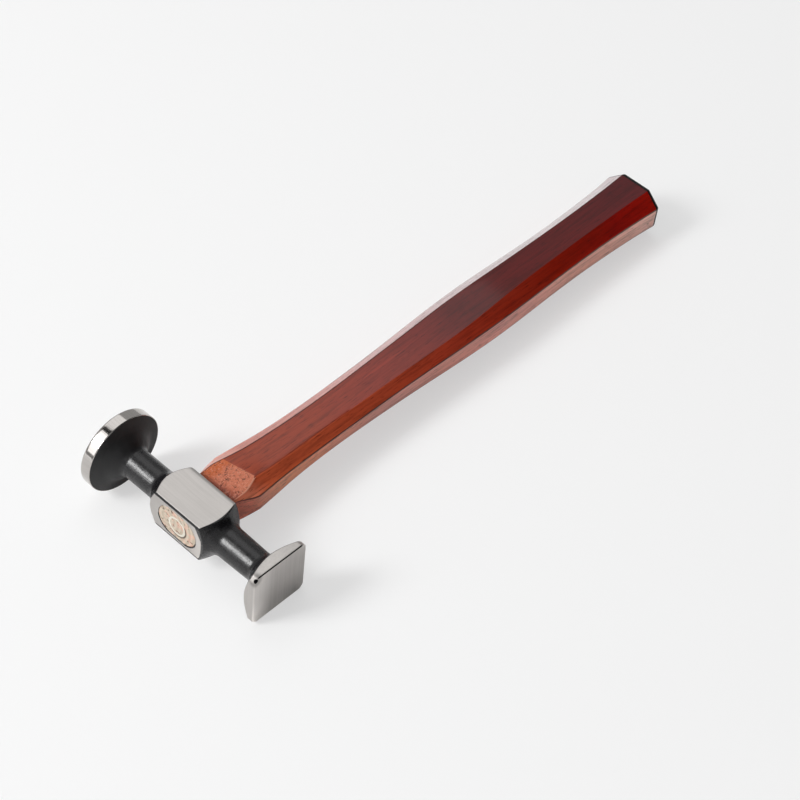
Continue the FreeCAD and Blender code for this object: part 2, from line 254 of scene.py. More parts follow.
class Nodes:
    """Adds and links shader nodes in one tree."""

    plus = one_by_one("ADD")
    minus = one_by_one("SUBTRACT")
    times = one_by_one("MULTIPLY")
    most = one_by_one("MAXIMUM")
    least = one_by_one("MINIMUM")
    over = one_by_one("GREATER_THAN")
    under = one_by_one("LESS_THAN")

    def __init__(self, tree, coordinates):
        self.tree = tree
        self.place = self.node("ShaderNodeTexCoord").outputs[coordinates]

    def node(self, kind, **settings):
        made = self.tree.nodes.new(kind)
        for name, value in settings.items():
            setattr(made, name, value)
        return made

    def put(self, socket, value):
        """Links an output, or sets a plain value."""
        if isinstance(value, bpy.types.NodeSocket):
            self.tree.links.new(value, socket)
        else:
            socket.default_value = (*value, 1) if socket.type == "RGBA" else value

    def fill(self, made, **values):
        for name, value in values.items():
            self.put(made.inputs[name.replace("_", " ")], value)
        return made

    def math(self, operation, *values):
        made = self.node("ShaderNodeMath", operation=operation)
        for socket, value in zip(made.inputs, values):
            self.put(socket, value)
        return made.outputs[0]

    def line(self, value, slope, start):
        """A value times a slope, plus a start."""
        return self.math("MULTIPLY_ADD", value, slope, start)

    def hypot(self, a, b):
        return self.math("SQRT", self.plus(self.times(a, a), self.times(b, b)))

    def mix(self, amount, a, b, kind="RGBA"):
        made = self.node("ShaderNodeMix", data_type=kind)
        first, result = (6, 2) if kind == "RGBA" else (2, 0)
        for number, value in ((0, amount), (first, a), (first + 1, b)):
            self.put(made.inputs[number], value)
        return made.outputs[result]

    def lay(self, base, shade, value, low, high, start=0.0, end=1.0):
        """Lays a colour over another one as a value goes from low to high."""
        return self.mix(self.fade(value, low, high, start, end), base, shade)

    def ramp(self, value, stops):
        """Colours at places from 0 to 1."""
        made = self.node("ShaderNodeValToRGB")
        elements = made.color_ramp.elements
        while len(elements) < len(stops):
            elements.new(0.5)
        for element, (place, shade) in zip(elements, stops):
            element.position = place
            element.color = (*shade, 1)
        self.put(made.inputs[0], value)
        return made.outputs[0]

    def fade(self, value, low, high, start=0.0, end=1.0):
        """A smooth step between two values."""
        made = self.node("ShaderNodeMapRange", interpolation_type="SMOOTHSTEP")
        for socket, number in zip(made.inputs, (value, low, high, start, end)):
            self.put(socket, number)
        return made.outputs[0]

    def stretched(self, scale=(1, 1, 1), turn=(0, 0, 0), move=(0, 0, 0)):
        """The coordinates scaled, turned and moved."""
        made = self.node("ShaderNodeMapping")
        self.fill(made, Vector=self.place, Scale=scale, Rotation=turn, Location=move)
        return made.outputs[0]

    def noise(self, scale, turn=(0, 0, 0), detail=3.0, roughness=0.5, distortion=0.0):
        """Noise with a cell of 1 / scale metres along each axis, or along all three."""
        scale = scale if hasattr(scale, "__len__") else (scale,) * 3
        made = self.node("ShaderNodeTexNoise")
        self.fill(made, Vector=self.stretched(scale, turn), Scale=1.0, Detail=detail,
                  Roughness=roughness, Distortion=distortion)
        return made.outputs["Fac"]

    def axes(self):
        return tuple(self.fill(self.node("ShaderNodeSeparateXYZ"), Vector=self.place).outputs)

    def against(self, operation, fixed):
        """The distance of the coordinates from a fixed vector, or their dot product with it."""
        made = self.node("ShaderNodeVectorMath", operation=operation)
        self.put(made.inputs[0], self.place)
        made.inputs[1].default_value = fixed
        return made.outputs["Value"]


class Shader(Nodes):
    """Builds a material node by node."""

    def __init__(self, name):
        self.material = bpy.data.materials.new(name)
        self.material.use_nodes = True
        super().__init__(self.material.node_tree, "Object")
        self.surface = self.tree.nodes["Principled BSDF"]

    def bump(self, height, depth, strength):
        """A bump of the given depth in metres."""
        made = self.fill(self.node("ShaderNodeBump"), Height=height, Distance=depth,
                         Strength=strength)
        self.put(self.surface.inputs["Normal"], made.outputs[0])

    def set(self, **values):
        self.fill(self.surface, **values)
        return self.material


def two_tone_material(name, scale, tones, depth, spread=None, **surface):
    """A finish of two colours that mix along a noise, with a bump of the same noise."""
    shader = Shader(name)
    grain = shader.noise(scale)
    shader.bump(grain, depth, 0.4)
    amount = shader.fade(grain, *spread) if spread else grain
    return shader.set(Base_Color=shader.mix(amount, *tones), **surface)


# Head

# How far along its axis the block with its shoulders reaches, and the square face's neck, and a
# place on the necks that parts the faces from the block.
BLOCK_REACH = 20 * MM
NECK_REACH = 42 * MM
FACE_SIDE = 30 * MM

STRIP_LEAN = math.radians(15)
# Where the forging is roughest, and how far that reaches.
ROUGH_PLACES = ((-41 * MM, 5 * MM), (18 * MM, 3.5 * MM))
# The dark pit at the square's near corner.
PIT = (0.0507, -0.0137, 0.0137)


def arc(centre, radius, start, end, steps):
    """Points on an arc, with angles in degrees."""
    angles = (math.radians(start + (end - start) * n / steps) for n in range(steps + 1))
    return [(centre[0] + radius * math.cos(a), centre[1] + radius * math.sin(a)) for a in angles]


def run(start, end, steps):
    """Evenly spaced points on a straight line."""
    return [tuple(a + (b - a) * n / steps for a, b in zip(start, end)) for n in range(steps + 1)]


def throat(corner, slope, neck_slope, radius, steps):
    """The rounding where a cone meets a neck: slope and neck_slope point away from the corner."""
    corner = Vector(corner)
    cone = Vector((math.cos(slope), math.sin(slope)))
    neck = Vector((math.cos(neck_slope), math.sin(neck_slope)))
    half = cone.angle(neck) / 2
    centre = corner + (cone + neck).normalized() * (radius / math.sin(half))
    angles = []
    for side in (cone, neck):
        touch = corner + side * (radius / math.tan(half))
        angles.append(math.degrees(math.atan2(touch.y - centre.y, touch.x - centre.x)))
    start, end = angles
    if abs(end - start) > 180:
        end -= math.copysign(360, end - start)
    return arc(centre, radius, start, end, steps)


def head_profile(size):
    """Half of the turned outline, from the middle of the round face to that of the square face."""
    end, top = size.head_length / 2, size.round_radius
    edge, small = 0.7 * MM, 0.35 * MM
    back = -end + size.round_rim
    line = run((-end, 0), (-end, top - edge), 8)
    line += arc((-end + edge, top - edge), edge, 180, 90, 6)
    line += run((-end + edge, top), (back - small, top), 5)
    line += arc((back - small, top - small), small, 90, 15, 4)

    def lead_in(curve, steps, start=None):
        """Draws straight on to a curve, and along it."""
        line.extend(run(start or line[-1], curve[0], steps) + curve)

    # The disc's back and its funnel.
    slope, funnel = math.radians(77), math.radians(50)
    mouth = (back + (top - size.round_funnel) / math.tan(slope), size.round_funnel)
    corner = (mouth[0] + (mouth[1] - size.round_neck) / math.tan(funnel), size.round_neck)
    lead_in(throat(mouth, math.pi - slope, -funnel, 10 * MM, 16), 8,
            (back + 0.09 * MM, top - 0.4 * MM))
    lead_in(throat(corner, math.pi - funnel, 0, 4 * MM, 12), 10)

    # The block and its two shoulders.
    wide, block = size.block_radius, size.block_half_length
    shoulder = math.radians(50)
    corner = (-block - (wide - size.round_neck) / math.tan(shoulder), size.round_neck)
    lead_in(throat(corner, math.pi, shoulder, 5.5 * MM, 14), 28)
    line += run(line[-1], (-block - 0.15 * MM, wide - 0.18 * MM), 16)
    line += run((-block + 0.2 * MM, wide), (block - 0.2 * MM, wide), 16)
    shoulder = math.radians(56)
    corner = (block + (wide - size.square_neck) / math.tan(shoulder), size.square_neck)
    lead_in(throat(corner, math.pi - shoulder, math.radians(-1.5), 7 * MM, 16), 18,
            (block + 0.15 * MM, wide - 0.22 * MM))

    # The square face, turned to the circle round its corners.
    slope, neck = math.radians(60), 7.05 * MM
    top, edge = size.square_corner, size.square_edge
    back = end - size.square_rim
    corner = (back - (top - neck) / math.tan(slope), neck)
    lead_in(throat(corner, math.radians(178.5), slope, 4.5 * MM, 12), 28)
    line += run(line[-1], (back - 0.1 * MM, top - 0.18 * MM), 28)
    line += run((back + 0.2 * MM, top), (end - edge, top), 4)
    line += arc((end - edge, top - edge), edge, 90, 0, 8)
    line += run((end, top - edge), (end, 0), 12)

    apart = [line[0]]
    for point in line[1:]:
        if math.dist(point, apart[-1]) > 1e-5:
            apart.append(point)
    return apart


def share_of(value):
    """A value held between 0 and 1."""
    return max(0.0, min(1.0, value))


def soft_min(a, b, width):
    """The lower of two values, with the corner between them rounded."""
    h = share_of(0.5 + 0.5 * (b - a) / width)
    return b + (a - b) * h - width * h * (1 - h)


def drawn_in(size, x, y, z):
    """Where a point of the turned head comes to lie once the flats are ground."""
    radius = math.hypot(y, z)
    if radius < 1e-7:
        return y, z
    across, up = abs(y) / radius, abs(z) / radius
    if abs(x) < BLOCK_REACH:
        return block_place(size, radius, y, z, across, up)
    if x < NECK_REACH:
        return y, z
    edge, outer = size.square_edge, radius
    inset, share = 0.0, 1.0
    if x > size.head_length / 2 - edge + 1e-7:
        if radius > size.square_corner - edge - 1e-7:
            inset = size.square_corner - radius
        else:
            inset = edge
            share = radius / (size.square_corner - edge)
        outer = size.square_corner - inset
    half = size.square_half - inset
    limit = soft_min(outer, half / max(across, up), size.square_softness) * share
    return y * limit / radius, z * limit / radius


def block_place(size, radius, y, z, across, up):
    """A point of the eye block, drawn in to its flats, its front strips and its roll-off."""
    limit = radius
    for reach, share in ((size.block_half_depth, across), (size.block_half_height, up)):
        if share > 1e-6:
            limit = soft_min(limit, reach / share, size.edge_softness)
    if y < 0:
        lean = across * math.cos(STRIP_LEAN) + up * math.sin(STRIP_LEAN)
        limit = soft_min(limit, strip_reach(size) / lean, 0.08 * MM)
    y, z = y * limit / radius, z * limit / radius
    rolled = y - (size.block_half_depth - size.roll_width)
    if rolled > 0:
        share = share_of((abs(z) - size.block_half_height + 1.5 * MM) / (1.2 * MM))
        z -= math.copysign(size.roll_depth * share * (rolled / size.roll_width) ** 2, z)
    return y, z


def strip_reach(size):
    """How far from the axis the leaning strip of the front edges lies."""
    return (size.block_half_depth * math.cos(STRIP_LEAN)
            + size.front_strip * math.sin(STRIP_LEAN))


def lump(size, x, y, z):
    """How far a point of the forging stands out: rough at the throats, ridged on the necks."""
    rough = sum(max(0.0, 1 - abs(x - place) / reach) for place, reach in ROUGH_PLACES)
    ridged = 1.0 if BLOCK_REACH < abs(x) < NECK_REACH else 0.0
    if rough + ridged == 0:
        return 0.0
    fading = share_of((13.5 * MM - math.hypot(y, z)) / (4 * MM))
    coarse = noise.fractal(Vector((260 * x, 330 * y, 330 * z)), 0.8, 2.0, 3)
    ridge = noise.noise(Vector((90 * x, 900 * y, 900 * z)))
    return size.lumps * fading * (0.6 * rough * coarse + 0.12 * ridged * ridge)


def obround_loft(name, stations, steps=24):
    """A closed obround body through stations of (y, half length, half height)."""
    rings = []
    for y, half_length, half_height in stations:
        reach = half_length - half_height
        ring = (arc((reach, 0), half_height, -90, 90, steps)
                + arc((-reach, 0), half_height, 90, 270, steps))
        rings.append([(x, y, z) for x, z in ring])
    plug = loft(name, rings)
    clean_up(plug)
    return plug


def ground_mask(shader, size):
    """1 on the faces, rims and flats that are ground bright, 0 on the black forging; and 1 on the
    leaning strips of the block's front edges."""
    x, y, z = shader.axes()
    along, across, up = (shader.math("ABSOLUTE", axis) for axis in (x, y, z))
    around = shader.hypot(y, z)
    on_block = shader.under(along, BLOCK_REACH)
    wander = shader.times(shader.minus(shader.noise(420), 0.5), 0.14 * MM)
    # The flats end at slanted lines, a little before the turned shoulder at the right.
    past = shader.minus(x, size.block_half_length)
    worn, moved = shader.plus(around, wander), shader.plus(x, wander)
    wide = size.block_radius
    front_end, top_end, corner_end, low_end = (
        shader.fade(shader.line(value, slope, start), limit, limit - width)
        for value, slope, start, limit, width in (
            (past, 2.93, worn, wide + 0.25 * MM, 0.3 * MM),
            (past, 2.16, worn, wide + 0.2 * MM, 0.25 * MM),
            (z, 0.6, moved, 16.7 * MM, 0.2 * MM),
            (z, -0.6, moved, 18.8 * MM, 0.2 * MM)))
    # The strips of the front edges stay black.
    leaning = shader.line(up, math.sin(STRIP_LEAN), shader.times(across, math.cos(STRIP_LEAN)))
    strip = shader.times(shader.under(y, 0.0), shader.fade(
        leaning, strip_reach(size) - 0.06 * MM, strip_reach(size) - 0.02 * MM), on_block)
    # The lower lip of the eye is black.
    beside = shader.most(shader.minus(along, 3.5 * MM), 0.0)
    lip = shader.most(shader.fade(shader.hypot(beside, z), 8.42 * MM, 8.5 * MM),
                      shader.fade(z, -1.5 * MM, -0.5 * MM))
    tip, step = 0.1 * MM, 0.06 * MM
    deep = size.block_half_depth
    front = shader.times(shader.fade(across, deep - tip - step, deep - tip),
                         shader.least(front_end, corner_end, low_end), lip)
    rolled = shader.fade(y, deep - size.roll_width, deep)
    height = shader.minus(size.block_half_height - tip,
                          shader.times(rolled, size.roll_depth + 0.1 * MM))
    top = shader.times(shader.fade(shader.minus(up, height), -step, 0.0), top_end)
    block = shader.times(shader.most(front, top), shader.minus(1.0, strip), on_block)
    rim = shader.times(shader.under(x, -FACE_SIDE), shader.fade(
        around, size.round_radius - 0.32 * MM, size.round_radius - 0.25 * MM))
    end = size.head_length / 2
    face = shader.fade(along, end - 0.9 * MM, end - 0.85 * MM)
    side = shader.fade(shader.most(across, up),
                       size.square_half - 0.2 * MM, size.square_half - 0.14 * MM)
    corner = shader.fade(around, size.square_corner - 0.4 * MM, size.square_corner - 0.3 * MM)
    near = shader.fade(x, end - size.square_edge - 0.3 * MM, end - size.square_edge)
    square = shader.times(shader.over(x, FACE_SIDE), shader.most(side, corner, near))
    return shader.most(block, rim, face, square), strip


def steel_material(size, colours):
    """Black forging with faces, rims and flats ground to bright satin steel."""
    shader = Shader("forged_and_ground_steel")
    x, y, z = shader.axes()
    end = size.head_length / 2
    at_square, at_round = shader.over(x, FACE_SIDE), shader.under(x, -FACE_SIDE)
    ground, strip = ground_mask(shader, size)
    # A dark pit at the square's near corner, and the dull line along its upper edge.
    from_pit = shader.against("DISTANCE", PIT)
    bend = shader.plus(shader.minus(x, end - 0.25 * MM),
                       shader.minus(z, size.square_half - 0.25 * MM))
    clean = shader.times(ground, shader.fade(from_pit, 0.9 * MM, 1.1 * MM),
                         shader.fade(bend, 0.06 * MM, -0.06 * MM))
    # Round the pit, painted shade darkens the corner to dim its highlight, and the corner is made
    # rougher.
    painted_shade_corner = shader.fade(from_pit, 4.5 * MM, 1.8 * MM)

    # Grinding marks: along the head on the block, upright on the square.
    steel = colours.ground_steel
    long_marks = shader.noise((60, 2200, 60), detail=4, roughness=0.6)
    upright = shader.noise((1300, 1000, 22), detail=4, roughness=0.65)
    streaks = shader.mix(at_square, long_marks, upright, "FLOAT")
    bright = shader.mix(shader.times(shader.fade(streaks, 0.35, 0.7),
                                     shader.line(at_square, 0.04, 0.2)), steel, scaled(steel, 0.62))
    bright = shader.lay(bright, scaled(steel, 0.82), shader.noise(90), 0.3, 0.75, 0.0, 0.2)
    # Painted light and shade: the square is painted paler towards its left edge and darker at its
    # lower right, a painted reflection of the floor and its shadow, and the front of the block is
    # painted paler at its right end, a painted reflection of the lamp.
    low = shader.fade(z, 2 * MM, -11 * MM)
    left = shader.times(at_square, shader.fade(y, -2 * MM, -12 * MM),
                        shader.fade(x, end - size.square_edge, end - 0.1 * MM))
    # Painted highlight: the front of the block is paler at its right end.
    lit = shader.times(shader.fade(x, 7 * MM, 14 * MM),
                       shader.fade(y, -10.2 * MM, -10.5 * MM, 0.0, 0.35),
                       shader.minus(1.0, at_square))
    pale = shader.plus(shader.times(left, shader.line(low, 0.45, 0.3)), lit)
    bright = shader.mix(pale, bright, scaled(steel, 1.8))
    # Painted shade: darker at the square's lower right and at its upper right corner.
    shade = shader.most(shader.times(low, 0.5), shader.fade(z, 14.3 * MM, 14.8 * MM, 0.0, 0.24))
    right = shader.times(at_square, shader.fade(y, -1 * MM, 11 * MM), shade)
    bright = shader.mix(right, bright, scaled(steel, 0.5))
    # Painted shade on the corner round the pit dims its highlight.
    bright = shader.mix(shader.times(painted_shade_corner, 0.3), bright, BLACK)
    mottle = shader.noise(420, detail=5, roughness=0.7)
    black = shader.lay(colours.black_steel, scaled(colours.black_steel, 2.2), mottle, 0.35, 0.7)

    ground_rough = shader.mix(at_round, shader.line(streaks, 0.14, 0.24),
                              shader.line(streaks, 0.10, 0.06), "FLOAT")
    ground_rough = shader.mix(painted_shade_corner, ground_rough, 0.6, "FLOAT")
    black_rough = shader.plus(shader.line(mottle, 0.22, 0.16), shader.times(strip, 0.4),
                              shader.fade(x, -37 * MM, -40 * MM, 0.0, 0.3))

    ridges = shader.noise((150, 1700, 1700), detail=4, roughness=0.65)
    skin = shader.plus(shader.times(ridges, 0.8), shader.times(mottle, 0.8))
    shader.bump(shader.plus(shader.times(streaks, shader.times(ground, 0.08)),
                            shader.times(skin, shader.minus(1.0, ground))), 0.08 * MM, 0.9)
    return shader.set(Base_Color=shader.mix(clean, black, bright), Metallic=ground,
                      Roughness=shader.mix(ground, black_rough, ground_rough, "FLOAT"))


class HAMMER_OT_head(bpy.types.Operator):
    """Turn the head, grind its flats and open its eye"""
    bl_idname = "hammer.head"
    bl_label = "Head"

    def execute(self, context):
        size = context.scene.hammer_head_sizes
        grip = context.scene.hammer_handle_sizes
        head = turned("forged_head", [(x, r, 0) for x, r in head_profile(size)],
                      size.around, (1, 0, 0))
        for vert in head.data.vertices:
            vert.co.y, vert.co.z = drawn_in(size, *vert.co)
            radius = math.hypot(vert.co.y, vert.co.z)
            if radius > 5 * MM:
                grown = 1 + lump(size, *vert.co) / radius
                vert.co.y *= grown
                vert.co.z *= grown
        clean_up(head)

        depth = size.block_half_depth
        lip, margin = 0.25 * MM, 1 * MM
        taper = (grip.eye_front_half_length - grip.eye_rear_half_length) / (2 * depth)
        front = (grip.eye_front_half_length, grip.eye_front_half_height)
        rear = (grip.eye_rear_half_length, grip.eye_rear_half_height)
        cutter = obround_loft("eye_cutter", (
            (-depth - margin, *(half + lip + margin for half in front)),
            (-depth + lip, *(half - taper * lip for half in front)),
            (depth, *rear),
            (depth + margin, *rear),
        ))
        faces = len(head.data.polygons)
        modify(head, "BOOLEAN", operation="DIFFERENCE", solver="EXACT", object=cutter)
        bpy.data.objects.remove(cutter)
        if len(head.data.polygons) == faces:
            raise RuntimeError("the eye was not cut")
        # The cut leaves faces with many corners round the eye: they are split into even triangles.
        select_faces(head, lambda face: len(face.vertices) > 4)
        bpy.ops.mesh.quads_convert_to_tris(quad_method="BEAUTY", ngon_method="BEAUTY")
        bpy.ops.mesh.select_all(action="SELECT")
        bpy.ops.mesh.dissolve_degenerate(threshold=1e-6)
        object_mode()
        set_materials(head, steel_material(size, context.scene.hammer_colours))
        finish(head, "steel", "hammer_head")
        return {"FINISHED"}


# Handle

# Stations along the handle: distance from the block, half width, half thickness,
# half of the top flat and half of the side flat, in millimetres.
STATIONS = (
    (0.02, 10.4, 7.5, 10.1, 6.9),
    (4.0, 11.6, 7.65, 10.3, 6.4),
    (8.0, 12.9, 7.95, 10.4, 5.6),
    (10.8, 13.8, 8.15, 10.0, 4.8),
    (13.85, 14.4, 8.5, 8.25, 4.5),
    (24.35, 13.57, 7.83, 7.74, 4.42),
    (34.35, 12.74, 7.28, 7.5, 3.83),
    (49.35, 12.16, 6.77, 7.15, 3.32),
    (69.35, 11.96, 6.69, 6.98, 3.24),
    (89.35, 12.21, 7.19, 7.26, 3.63),
    (109.35, 12.59, 7.8, 7.67, 4.01),
    (129.35, 13.37, 8.17, 8.15, 4.55),
    (149.35, 14.18, 8.94, 8.76, 4.91),
    (169.35, 14.59, 10.25, 8.2, 5.08),
    (189.35, 14.23, 10.96, 7.48, 4.95),
    (209.35, 13.64, 11.18, 7.2, 4.9),
    (229.35, 13.36, 11.42, 7.03, 4.96),
    (249.35, 13.69, 11.76, 7.07, 5.21),
    (269.35, 14.53, 12.31, 7.43, 5.32),
    (278.0, 15.2, 12.53, 7.78, 5.5),
    (282.6, 15.6, 12.7, 7.96, 5.6),
)
# The crest of the shoulder, station 4, runs aslant over the handle from left to right: its ends
# as (across, from the eye's middle).
CREST = 4
CREST_LEFT = (-9.2 * MM, 24.3 * MM)
CREST_RIGHT = (7.3 * MM, 27.9 * MM)

# What a face of the handle is while it is modelled: the flats, chamfers and sides, the bare ramps
# of the shoulder, the butt and the rounded edges.
FLAT, CHAMFER, SIDE, RAMP, BUTT, EDGE = range(6)
# The material slot of each, and the facet number that the varnish reads. Dark edges have the
# number 3, and the one at the right of the ramps, with a painted highlight, has 4.
SLOTS = (0, 0, 0, 1, 2, 0)
FACETS = (0.0, 1.0, 2.0, 0.0, 0.0, 3.0)
PAINTED_HIGHLIGHT_EDGE = 4.0

# Where the grip starts and how long it is.
GRIP_START, GRIP_LENGTH = 0.01065, 0.285
# The varnish along the grip on the flats, the chamfers and the right side; the right side's
# colours are painted pale, partly paler wood and partly painted light.
VARNISH = (
    ((0.06, (0.31, 0.048, 0.016)), (0.16, (0.29, 0.040, 0.014)), (0.32, (0.23, 0.026, 0.013)),
     (0.46, (0.165, 0.013, 0.008)), (0.58, (0.092, 0.004, 0.003)), (0.8, (0.105, 0.005, 0.005)),
     (1.0, (0.080, 0.004, 0.006))),
    ((0.04, (0.66, 0.180, 0.100)), (0.10, (0.49, 0.085, 0.032)), (0.25, (0.45, 0.068, 0.026)),
     (0.5, (0.38, 0.038, 0.015)), (0.75, (0.31, 0.011, 0.001)), (0.9, (0.29, 0.004, 0.001)),
     (1.0, (0.36, 0.006, 0.001))),
    ((0.03, (0.80, 0.19, 0.11)), (0.10, (0.92, 0.29, 0.12)), (0.18, (0.80, 0.24, 0.12)),
     (0.32, (0.66, 0.25, 0.20)), (0.46, (0.74, 0.26, 0.19)), (0.6, (0.88, 0.32, 0.26)),
     (0.8, (0.86, 0.36, 0.26)), (1.0, (0.90, 0.46, 0.37))),
)


def octagon(width, height, flat, side):
    """Corners of the section, from the right side round over the top."""
    return (
        (width, side), (flat, height), (-flat, height), (-width, side),
        (-width, -side), (-flat, -height), (flat, -height), (width, -side),
    )


def handle_rings(rear):
    """The octagons that the handle is drawn through, with its crest aslant."""
    rings = []
    for number, (away, *section) in enumerate(STATIONS):
        y = rear + away * MM
        ring = [(x, y, z) for x, z in octagon(*(value * MM for value in section))]
        if number == CREST:
            ring = [(*(CREST_RIGHT if x > 0 else CREST_LEFT), z) if abs(z) > 6 * MM else (x, y, z)
                    for x, y, z in ring]
        rings.append(ring)
    return rings


def crease_edges(handle, ends):
    """Keeps the long edges, the crest and both ends crisp under the subdivision."""
    creases = handle.data.attributes.new("crease_edge", "FLOAT", "EDGE")
    crest = {round(CREST_LEFT[1], 6), round(CREST_RIGHT[1], 6)}
    for edge in handle.data.edges:
        a, b = (handle.data.vertices[n].co.y for n in edge.vertices)
        on_crest = {round(a, 6), round(b, 6)} == crest
        at_end = any(abs(a - end) < 1e-6 and abs(b - end) < 1e-6 for end in ends)
        if on_crest or at_end or abs(a - b) > 1e-6:
            creases.data[edge.index].value = 1.0


def name_faces(handle, rings):
    """Tells the flats, chamfers, sides and ramps by the corners of the octagon that they join."""
    verts = handle.data.vertices
    places = [(Vector(point), corner) for ring in rings for corner, point in enumerate(ring)]
    for face in handle.data.polygons:
        found = {min(places, key=lambda known: (known[0] - verts[n].co).length)[1]
                 for n in face.vertices}
        if found in ({1, 2}, {5, 6}):
            face.material_index = RAMP if face.center.y < CREST_LEFT[1] else FLAT
        elif found in ({3, 4}, {0, 7}):
            face.material_index = SIDE
        else:
            face.material_index = CHAMFER if face.center.y > rings[0][0][1] + 1e-5 else RAMP


def round_edges(handle, size):
    """Rounds the edges between the facets, less where a facet leaves little room."""
    verts = handle.data.vertices
    sharing = {}
    for face in handle.data.polygons:
        sides = sorted((verts[a].co - verts[b].co for a, b in face.edge_keys),
                       key=lambda side: abs(side.y))
        width = min(side.length for side in sides[:2])
        for key in face.edge_keys:
            sharing.setdefault(key, []).append((face.normal.copy(), width))
    weights = handle.data.attributes.new("bevel_weight_edge", "FLOAT", "EDGE")
    for edge in handle.data.edges:
        (first, wide), (second, narrow) = sharing[edge.key]
        middle = (verts[edge.vertices[0]].co + verts[edge.vertices[1]].co) / 2
        # The right edges of the top and bottom stay sharp behind the crest.
        if (middle.x > 0 and middle.y > CREST_RIGHT[1]
                and max(abs(first.z), abs(second.z)) > 0.9):
            continue
        if first.angle(second) > math.radians(20) and max(abs(first.y), abs(second.y)) < 0.5:
            room = 0.85 * min(wide, narrow) / size.facet_edge
            weights.data[edge.index].value = min(1.0, room)
    modify(handle, "BEVEL", width=size.facet_edge, segments=3, limit_method="WEIGHT",
           use_clamp_overlap=False, material=EDGE)


def round_butt(handle, size, end):
    """Draws the butt out in steps that close in to a rounded end."""
    select_faces(handle, lambda face: face.center.y > end - 1e-5 and abs(face.normal.y) > 0.9)
    half_width, half_height = (value * MM for value in STATIONS[-1][1:3])
    reach, drop = 0.0, 0.0
    for turn in (22.5, 45, 67.5, 90):
        angle = math.radians(turn)
        goal = size.butt_length * math.sin(angle)
        deeper = size.butt_depth * (1 - math.cos(angle))
        extrude(0, goal - reach, 0)
        object_mode()
        for vert in handle.data.vertices:
            if vert.select:
                vert.co.x *= (half_width - deeper) / (half_width - drop)
                vert.co.z *= (half_height - deeper) / (half_height - drop)
        bpy.ops.object.mode_set(mode="EDIT")
        reach, drop = goal, deeper
    clean_up(handle)
    for face in handle.data.polygons:
        if face.center.y > end - 1e-5:
            face.material_index = BUTT
    if max(vert.co.y for vert in handle.data.vertices) < end + 0.5 * size.butt_length:
        raise RuntimeError("the butt was not rounded")


def dress_handle(handle, materials, end):
    """Writes each face's facet number for the varnish, and gives it its material."""
    facet = handle.data.attributes.new("facet", "FLOAT", "FACE")
    kinds = [face.material_index for face in handle.data.polygons]
    set_materials(handle, *materials)
    slope = (CREST_RIGHT[1] - CREST_LEFT[1]) / (CREST_RIGHT[0] - CREST_LEFT[0])
    for face, kind in zip(handle.data.polygons, kinds):
        here = face.center
        behind = here.y - CREST_LEFT[1] - slope * (here.x - CREST_LEFT[0])
        value = FACETS[kind]
        if kind == EDGE and abs(here.z) > 6.6 * MM and behind < 0.5 * MM:
            if behind > -0.6 * MM and abs(face.normal.z) > 0.85:
                value = FACETS[FLAT]
            elif here.x > 0:
                # The edge at the right of the ramp gets the painted highlight.
                value = PAINTED_HIGHLIGHT_EDGE
        facet.data[face.index].value = value
        at_butt = kind == EDGE and here.y > end - 1e-5
        face.material_index = SLOTS[BUTT if at_butt else kind]


def varnish_material():
    """Red-brown varnish over straight grain, darker towards the butt."""
    shader = Shader("varnished_wood")
    x, y, z = shader.axes()
    along = shader.line(y, 1 / GRIP_LENGTH, -GRIP_START / GRIP_LENGTH)
    streaks = shader.noise((900, 26, 900), detail=5, roughness=0.62, distortion=0.4)
    bands = shader.noise((260, 9, 260), detail=2, distortion=0.3)
    blotch = shader.noise((55, 30, 55))
    pores = shader.noise((2600, 160, 2600), detail=1)
    place = shader.plus(along, shader.line(blotch, 0.2, -0.1))
    top, chamfer, side = (shader.ramp(place, stops) for stops in VARNISH)
    # Only the right side is painted pale: partly paler wood, partly painted light.
    side = shader.mix(shader.over(x, 0.0), chamfer, side)
    facet = shader.node("ShaderNodeAttribute", attribute_name="facet").outputs["Fac"]
    on_chamfer = shader.fade(facet, 0.25, 0.75)
    base = shader.mix(on_chamfer, top, chamfer)
    # The chamfer at the upper left is painted pale towards the butt: partly paler wood, partly a
    # painted reflection.
    paler_wood_and_reflection = shader.times(shader.under(x, 0.0), shader.over(z, 0.0), on_chamfer,
                          shader.fade(y, 20 * MM, 200 * MM, 0.08, 0.66))
    base = shader.mix(paler_wood_and_reflection, base, (0.62, 0.61, 0.63))
    base = shader.lay(base, side, facet, 1.25, 1.75)

    base = shader.lay(base, shader.mix(0.3, BLACK, base), streaks, 0.42, 0.7, 0.0, 0.5)
    light = shader.node("ShaderNodeMix", data_type="RGBA", blend_type="MULTIPLY")
    light.inputs[0].default_value = 1.0
    shader.put(light.inputs[6], base)
    light.inputs[7].default_value = (1.5, 1.6, 1.6, 1)
    base = shader.lay(base, light.outputs[2], bands, 0.45, 0.75, 0.0, 0.5)
    base = shader.lay(base, (0.02, 0.002, 0.002), pores, 0.62, 0.72, 0.0, 0.6)
    # The edges between the facets are darker, and the one beside the ramp has a painted highlight.
    base = shader.lay(base, (0.025, 0.004, 0.004), facet, 2.25, 2.75, 0.0, 0.85)
    base = shader.lay(base, (0.62, 0.26, 0.17), facet, 3.25, 3.75)

    shader.bump(shader.plus(streaks, shader.times(blotch, 1.5)), 0.05 * MM, 0.5)
    return shader.set(Base_Color=base, Roughness=0.35, IOR=1.2, Sheen_Weight=0.7,
                      Sheen_Roughness=0.25, Coat_Weight=1.0, Coat_Roughness=0.1, Coat_IOR=1.33)


